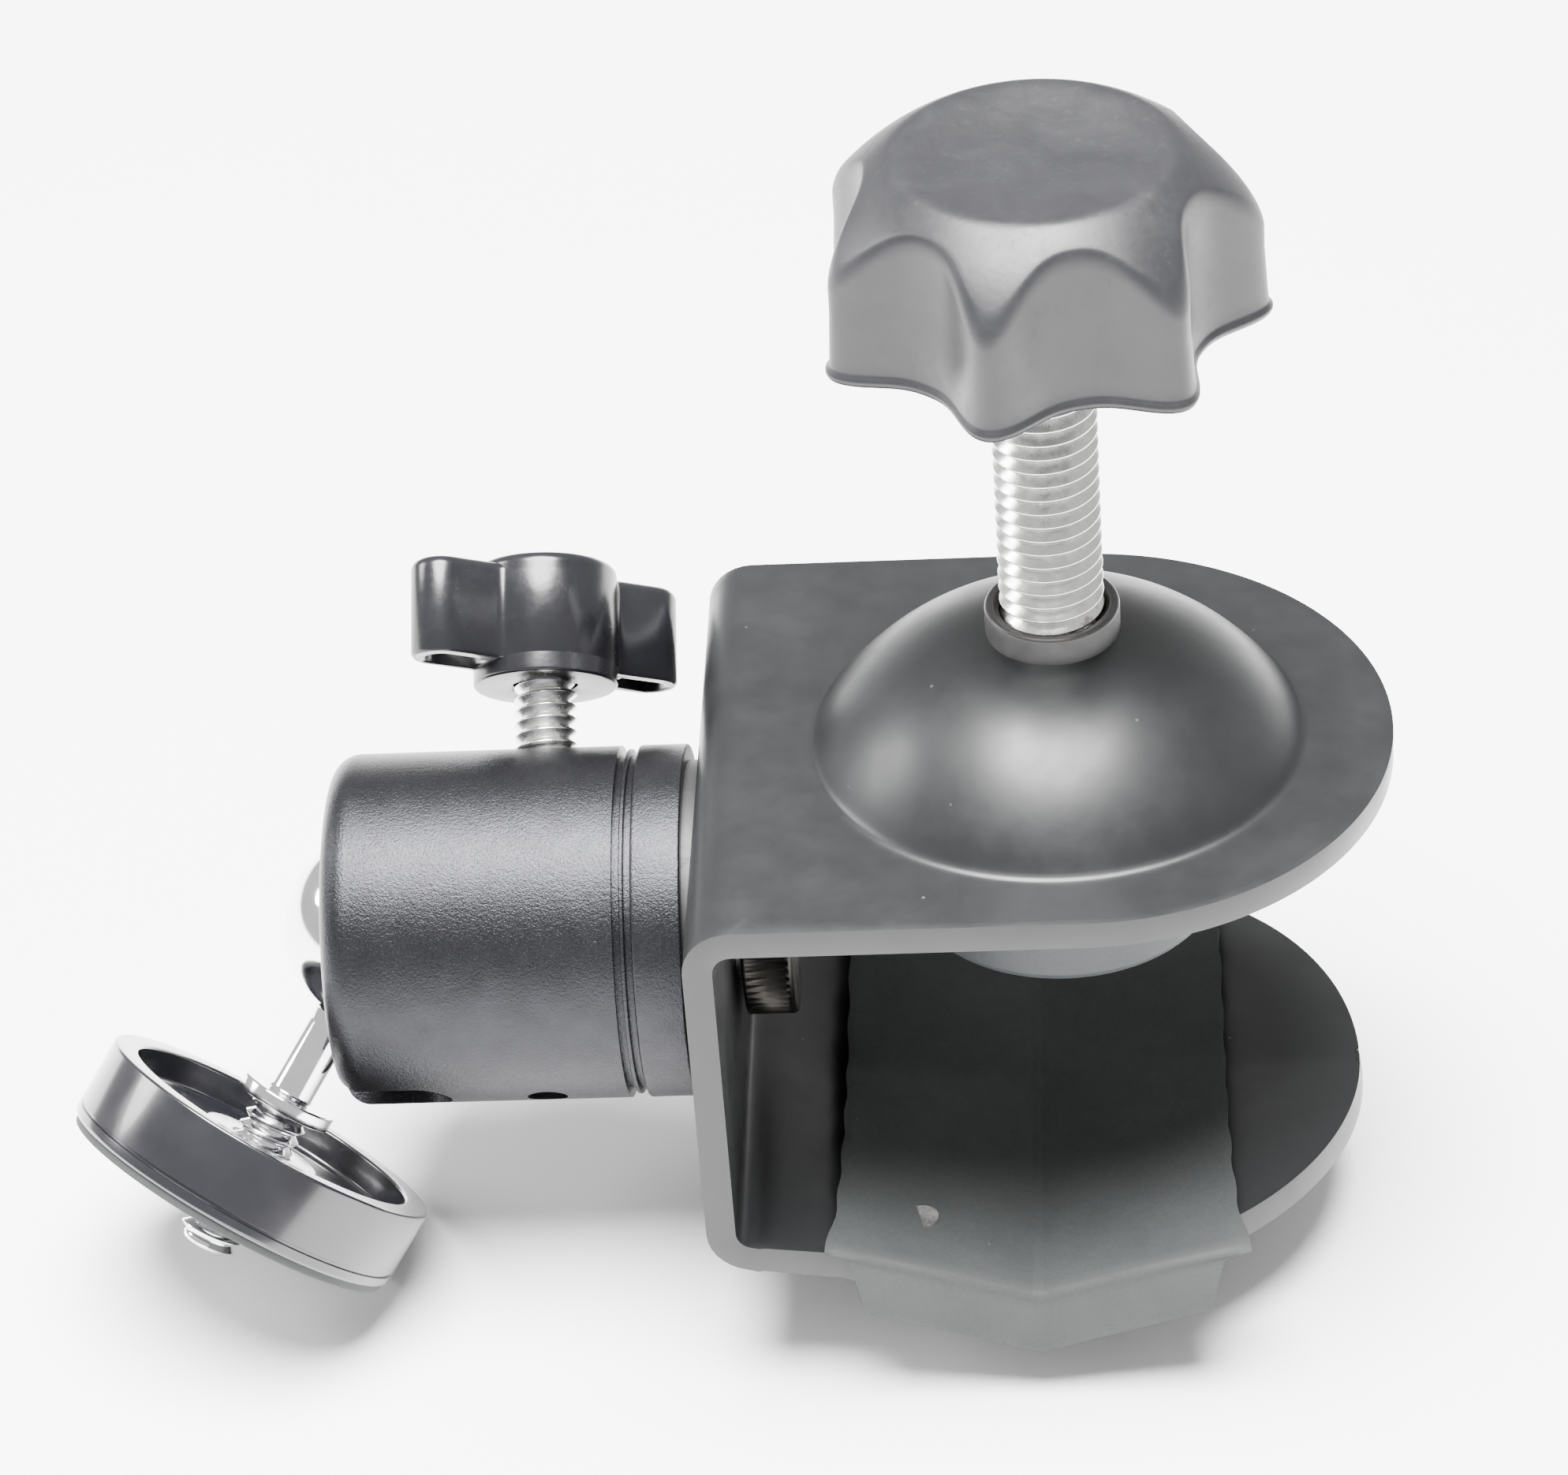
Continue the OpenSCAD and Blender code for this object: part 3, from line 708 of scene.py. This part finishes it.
def clamp_knob():
    """Seven broad lobes with a flash line near the bottom, a round dish on top and a hub below."""
    base = KNOB_LOW.z
    height = KNOB_HIGH.z - base
    steps = LOBES * 40
    angles = [TURN * i / steps for i in range(steps)]
    outline = [Vector((cos(a), sin(a))) * lobe_radius(a) for a in angles]
    # (inset, height) up the wall, past the flash line near the bottom
    wall = [(1.6, 0.0), (0.75, 0.05), (0.3, 0.35), (0.12, 0.7), (0.12, 1.0), (0.42, 1.25), (0.5, 1.6)]
    wall += [(0.5 + 0.3 * t / 5, 1.6 + 5.4 * t / 5) for t in range(1, 6)]
    rings = [[(*p, z) for p in inset(outline, d)] for d, z in wall]
    side = inset(outline, wall[-1][0])
    rim = DISH_R + 0.8
    for t in range(9):
        a = pi / 2 * t / 8
        ring = [p.lerp(p.normalized() * rim, 0.2 * (1 - cos(a))) for p in side]
        rings.append([(*q, knob_top(q.length, height) - KNOB_EDGE * (1 - sin(a))) for q in ring])
    start = [Vector(p[:2]) for p in rings[-1]]
    for t in range(1, 9):
        ring = [p.lerp(p.normalized() * rim, t / 8) for p in start]
        rings.append([(*q, knob_top(q.length, height)) for q in ring])
    for t in range(1, 24):
        r = rim * (1 - t / 24)
        rings.append([(*(p.normalized() * r), knob_top(r, height)) for p in start])
    hub = 7.6
    low_edge = [Vector(p[:2]) for p in rings[0]]
    under = [[(*p.lerp(p.normalized() * hub, 0.5), 0.0) for p in low_edge]]
    for r, z in ((hub + 0.6, 0.0), (hub, 0.0), (5.3, 0.0), (5.1, 0.4)):
        under.append([(*(p.normalized() * r), z) for p in low_edge])
    rings = list(reversed(under)) + rings
    points = [(x, y, base + z) for ring in rings for x, y, z in ring]
    faces = ring_faces(len(rings), steps)
    faces.append(tuple((len(rings) - 1) * steps + k for k in range(steps)))
    faces.append(tuple(reversed(range(steps))))
    piece = make("clamp_knob_moulding", points, faces, sharp=60)
    fit(piece, "screw", "knob_plastic", "clamp_knob")


def clamp_screw():
    """The M10 thread, with a neck and a ball below that turn in the foot."""
    neck_r, ball_r = 3.0, 4.2
    centre = box_mm("clamp_screw")[0].z + ball_r
    start = centre + 5.5
    rod = screw_thread("rod", 9.9, 1.5, start, KNOB_LOW.z + 1.5, Matrix.Identity(4), 0.86)
    ball = [(ball_r * sin(pi * k / 24), centre - ball_r * cos(pi * k / 24), 0) for k in range(19)]
    shank = [(neck_r, centre + 3.6, 0), (neck_r, start + 0.3, 0), (0.01, start + 0.3, 0)]
    neck = turned("neck", ball + shank, Matrix.Identity(4), sides=64)
    fit(join("clamp_screw_thread", [rod, neck]), "screw", "zinc", "clamp_screw")


def collar():
    """The threaded bushing on the dome, with its flange under the sheet."""
    low, high = box_mm("screw_bushing")
    r_out, r_in, flange = 6.4, 5.05, 8.4
    step = low.z + 2
    corners = [(r_in, high.z - 0.5, 0.2), (r_in + 0.5, high.z, 0.2), (r_out, high.z, 0.45),
               (r_out, step, 0.3), (flange, step, 0.3), (flange, low.z, 0.3), (r_in, low.z, 0.2)]
    piece = turned("collar_ring", corners, Matrix.Identity(4), closed=True, sides=96)
    fit(piece, "clamp", "collar_oxide", "screw_bushing")


def foot():
    """Grey rubber pad, and the steel cup in it that holds the screw's ball."""
    low, high = box_mm("foot_rubber")
    place = Matrix.Translation((0, 0, low.z))
    r, cup_r = high.x, high.x - 2.2
    seat, rim, top = 2.6, 4.6, 5.7               # heights of the cup's seat and rim, and of the pad's top
    pad = [(0.01, 0, 0), (r - 0.6, 0, 0.5), (r, 0.9, 0.5), (r, 5.2, 0.0), (r - 0.5, top, 0.3),
           (r - 3.2, top, 0.3), (r - 3.2, rim, 0), (cup_r, rim, 0), (cup_r, seat, 0), (0.01, seat, 0)]
    fit(turned("foot_pad", pad, place), "foot", "foot_rubber", "foot_rubber")
    boss_r, boss_top, ball_z, socket_r = 7.2, 9.8, 8.4, 4.25
    floor = seat + 0.02
    cup = [(0.01, floor, 0), (cup_r, floor, 0.3), (cup_r, rim, 0.4), (boss_r, rim, 0.8),
           (boss_r, boss_top, 0.5), (socket_r, boss_top, 0), (socket_r, ball_z, 0)]
    for k in range(1, 8):
        a = pi / 2 * k / 8
        cup.append((socket_r * cos(a), ball_z - socket_r * sin(a), 0))
    cup += [(0.01, ball_z - socket_r, 0)]
    fit(turned("foot_cup_steel", cup, place, sides=96), "foot", "spring_steel", "foot_cup")


# ---------------------------------------------------------------- ball head
def at_x(x):
    """Places local +Z along the head, outward, starting at this x."""
    return along((x, 0, HEAD_Z), (-1, 0, 0), Vector((0, 1, 0)))


def head_base():
    """Turned base behind the housing: a flange, a groove with a fine ridge in it, and a spigot."""
    low, high = box_mm("head_base")
    length = high.x - low.x
    r, flange, spigot, bore = 17.3, 4.8, 12.0, 3.225
    shoulder, ridge, neck = flange + 1.8, r - 0.35, r - 1
    corners = [(bore, 0, 0.2), (r, 0, 0.25), (r, flange, 0.3), (neck, flange, 0),
               (neck, flange + 0.65, 0), (ridge, flange + 0.7, 0.1), (ridge, flange + 1.1, 0.1),
               (neck, flange + 1.15, 0), (neck, shoulder, 0), (spigot, shoulder, 0),
               (spigot, length, 0.3), (bore, length, 0.2)]
    piece = turned("head_base_turning", corners, at_x(high.x), closed=True)
    fit(piece, "head", "anodised", "head_base")


def fixing_screw():
    """Knurled screw through the back plate that holds the head."""
    low, high = box_mm("head_fixing_screw")
    head_h, r, pitch = 5.0, 9.5, 1.27
    place = at_x(high.x)

    def knurl(a, radius, z):
        """Sixty fine flutes round the rim of the screw's head."""
        on_rim = radius > r - 0.4 and 0.5 < z < head_h - 0.5
        return 0.25 * (cos(60 * a) - 1) if on_rim else 0.0

    corners = [(0.01, 1.6, 0), (1.2, 1.6, 0.2), (1.2, 0, 0.2), (r, 0, 0.5), (r, 0.8, 0), (r, 2.5, 0),
               (r, head_h, 0.4), (3.1, head_h, 0), (0.01, head_h, 0)]
    head = turned("screw_head", corners, place, sides=240, ripple=knurl)
    rod = screw_thread("rod", 6.2, pitch, head_h - 0.2, high.x - low.x, place, 0.58 * pitch, sides=48)
    fit(join("fixing_screw", [head, rod]), "clamp", "black_oxide", "head_fixing_screw")


def ball_stem():
    """Ball, stem, flange and camera stud in one piece, with its real 1/4 inch thread."""
    place = along(BALL, STEM_AXIS)
    ball_r, stem_r, flange_r, collar_r = 10.0, 2.2, 5.0, 2.6
    flange_at, tip = 19.0, 36.3
    flange_end, collar_end = flange_at + 1.5, flange_at + 2.4
    sweep = pi - asin(stem_r / ball_r)
    turns = [sweep * k / 64 for k in range(64)]
    corners = [(max(0.01, ball_r * sin(a)), -ball_r * cos(a), 0) for a in turns]
    corners += [(stem_r + 0.35, ball_r - 0.15, 0.3), (stem_r, ball_r + 1.2, 1.0),
                (stem_r, flange_at, 0.4), (flange_r, flange_at, 0.25), (flange_r, flange_end, 0.25),
                (collar_r, flange_end, 0.1), (collar_r, collar_end, 0), (0.01, collar_end, 0)]
    body = turned("body", corners, place)
    stud = screw_thread("stud", 6.3, 1.27, flange_at + 1.4, tip, place, 0.72, chamfer=0.9, sides=64)
    fit(join("ball_stem_chrome", [body, stud]), "stem", "chrome", "ball_stem")


def platform():
    """Black dished disc, its nickel insert and the thin rubber face."""
    place = along(BALL, STEM_AXIS)
    rim, r, thick, wall, deep, bore = 22.5, 17.7, 8.2, 2.6, 3.2, 4.6
    back, inner, floor, seam = rim + thick, r - wall, rim + deep, r - 0.25
    disc = [(r, rim, 0.3), (r, rim + 6.6, 0), (seam, rim + 6.7, 0), (seam, rim + 6.95, 0),
            (r, rim + 7.05, 0), (r, back, 0.5), (bore, back, 0), (bore, floor, 0.1),
            (inner, floor, 0.5), (inner, rim, 0.3)]
    cup = turned("platform_cup", disc, place, closed=True, sides=160)
    fit(cup, "platform", "disc_gloss", "platform_disc")
    hole, flange_r, gap = 3.23, 6.25, 0.02
    insert = [(hole, floor - 1.05, 0.2), (flange_r, floor - 1.05, 0.3), (flange_r, floor - gap, 0),
              (bore - gap, floor, 0), (bore - gap, back, 0), (hole, back, 0.2)]
    nut = turned("insert_flange", insert, place, closed=True, sides=96)
    fit(nut, "platform", "insert_nickel", "disc_insert")
    pad_r, pad_low, pad_high = r - 0.5, back + 0.01, back + 0.8
    pad = [(bore, pad_low, 0), (pad_r, pad_low, 0), (pad_r, pad_high, 0.25), (bore, pad_high, 0.2)]
    face = turned("platform_rubber", pad, place, closed=True)
    fit(face, "platform", "rubber", "platform_pad")


# ---------------------------------------------------------------- lock screw and knob
LOCK = along((LOCK_X, 0, HEAD_Z), LOCK_AXIS)
WING_TURN = radians(36)
KNOB_AT, LOCK_KNOB_H = 24.0, 12.3
HUB_R, WING_TIP, WING_W, WING_H, WING_UP = 7.2, 14.8, 6.0, 9.9, 1.6


def lock_screw():
    """The 1/4 inch thread between the lock knob and the wedge in the housing."""
    rod = screw_thread("lock_screw_thread", 6.3, 1.27, 9.15, KNOB_AT + 8, LOCK, 0.72, sides=64)
    fit(rod, "lock", "zinc", "lock_screw")


def wing_outline():
    """Round hub with two rounded wings, the two blended by small fillets."""
    half, mid, blend, steps = WING_W / 2, WING_TIP - WING_W / 2, 0.5, 288
    out = []
    for i in range(steps):
        a = TURN * i / steps
        c, s = abs(cos(a)), abs(sin(a))
        if mid * s < half:
            radius = mid * c + sqrt(half * half - (mid * s) ** 2)
        else:
            radius = half / s
        if radius < HUB_R + 2:
            radius = max(radius, HUB_R) + 0.6 * blend * exp(-abs(radius - HUB_R) / blend)
        out.append(Vector((cos(a), sin(a))) * radius)
    return out


def prism(name, outline, wall, place):
    """An outline raised through (inset, height) steps and closed flat at both ends."""
    rings = [[(*p, z) for p in inset(outline, d)] for d, z in wall]
    count = len(outline)
    points = [p for ring in rings for p in ring]
    faces = ring_faces(len(rings), count)
    faces.append(tuple(reversed(range(count))))
    faces.append(tuple((len(rings) - 1) * count + k for k in range(count)))
    return make(name, points, faces, place, sharp=50)


def wing_pocket(side):
    """Outline of the hollow under one wing; side is -1 or 1."""
    mid, half, near = WING_TIP - WING_W / 2, WING_W / 2 - 1.3, HUB_R + 0.6
    turns = [-pi / 2 + pi * k / 12 for k in range(13)]
    pocket = [Vector((side * (mid + half * cos(a)), half * sin(a))) for a in turns]
    pocket += [Vector((side * near, half)), Vector((side * near, -half))]
    return pocket if side > 0 else list(reversed(pocket))


def lock_knob():
    """Glossy hub with two wings, each hollow from below."""
    place = LOCK @ Matrix.Translation((0, 0, KNOB_AT)) @ Matrix.Rotation(WING_TURN, 4, "Z")
    round_r, pocket_h = 1.1, 7
    shoulder = WING_UP + WING_H - round_r
    arc = [pi / 2 * t / 5 for t in range(6)]
    wall = [(0.25, WING_UP), (0.0, WING_UP + 0.3)]
    wall += [(round_r * (1 - cos(a)), shoulder + round_r * sin(a)) for a in arc]
    wings = prism("wings", wing_outline(), wall, place)
    for side in (-1, 1):
        cut(wings, prism("pocket", wing_pocket(side), [(0, WING_UP - 1), (0, WING_UP + pocket_h)], place))
    corners = [(3.2, 0.3, 0.1), (3.5, 0, 0.1), (HUB_R, 0, 0.35), (HUB_R, LOCK_KNOB_H, round_r),
               (0.01, LOCK_KNOB_H, 0)]
    hub = turned("hub", corners, place, sides=96)
    fit(join("lock_knob_moulding", [wings, hub]), "lock", "lock_plastic", "lock_knob")


# ---------------------------------------------------------------- build
bracket()
jaw_pad()
clamp_knob()
clamp_screw()
collar()
foot()
head_base()
fixing_screw()
ball_stem()
platform()
lock_screw()
lock_knob()

# these CAD nodes keep their own shape
SLOT_OF = {s["node"]: s["material_slot"] for s in frame["record"]["subparts"]}
for node in ("pad_rivets", "spring_washer", "spacer_washer", "foot_snap_ring",
             "housing", "plunger", "ball_seat", "lock_tip"):
    dress(frame["nodes"][node], SLOT_OF[node])


# ---------------------------------------------------------------- stage, light and camera
LIGHT_AIM = Vector((-0.02, 0, 0.03))
CAM_AZIMUTH, CAM_ELEVATION, CAM_ROLL = 4.5, 36.0, 4.5
CAM_DISTANCE, CAM_LENS, SENSOR = 530.0, 126.8, 36.0
CAM_AIM = Vector((-26.2, 0.0, PLATE_Z + 0.3))


def stage():
    """White floor under the part's lowest point."""
    floor_z = CAD_BOX[0].z
    size = 6.0
    corners = ((-1, -1), (1, -1), (1, 1), (-1, 1))
    mesh = bpy.data.meshes.new("floor")
    mesh.from_pydata([(x * size, y * size, floor_z) for x, y in corners], [], [(0, 1, 2, 3)])
    floor = bpy.data.objects.new("floor", mesh)
    bpy.context.scene.collection.objects.link(floor)
    m = Nodes("floor", Roughness=0.9, Specular_IOR_Level=0.2)
    m.colour(m.mix(m.noise(60, 3), (0.9, 0.9, 0.9), (0.93, 0.93, 0.93)))
    mesh.materials.append(m.material)


def softbox(name, where, size, watts):
    """A round area light turned to the part. Places and size are metres."""
    data = bpy.data.lights.new(name, "AREA")
    data.shape = "DISK"
    data.size = size
    data.energy = watts
    lamp = bpy.data.objects.new(name, data)
    lamp.location = where
    lamp.rotation_mode = "QUATERNION"
    lamp.rotation_quaternion = (LIGHT_AIM - Vector(where)).to_track_quat("-Z", "Y")
    bpy.context.scene.collection.objects.link(lamp)


def lights():
    """An even white room, a large light above and a small one to the left."""
    world = bpy.data.worlds.new("white_room")
    bpy.context.scene.world = world
    world.use_nodes = True
    world.node_tree.nodes["Background"].inputs["Color"].default_value = (1, 1, 1, 1)
    world.node_tree.nodes["Background"].inputs["Strength"].default_value = 0.85
    softbox("overhead", (-0.05, -0.1, 1.1), 0.8, 118)
    softbox("left", (-0.9, 0.2, 0.5), 0.35, 8)


def camera():
    """The photo's view: from the front, 36 degrees above, a little to the right and rolled."""
    data = bpy.data.cameras.new("camera")
    data.lens = CAM_LENS
    data.sensor_width = SENSOR
    data.clip_start, data.clip_end = 0.01, 50
    cam = bpy.data.objects.new("camera", data)
    bpy.context.scene.collection.objects.link(cam)
    a, e = radians(CAM_AZIMUTH), radians(CAM_ELEVATION)
    back = Vector((sin(a) * cos(e), -cos(a) * cos(e), sin(e)))
    cam.location = (CAM_AIM + back * CAM_DISTANCE) * MM
    turn = (-back).to_track_quat("-Z", "Y").to_matrix() @ Matrix.Rotation(radians(-CAM_ROLL), 3, "Z")
    cam.rotation_mode = "QUATERNION"
    cam.rotation_quaternion = turn.to_quaternion()
    bpy.context.scene.camera = cam


stage()
lights()
camera()
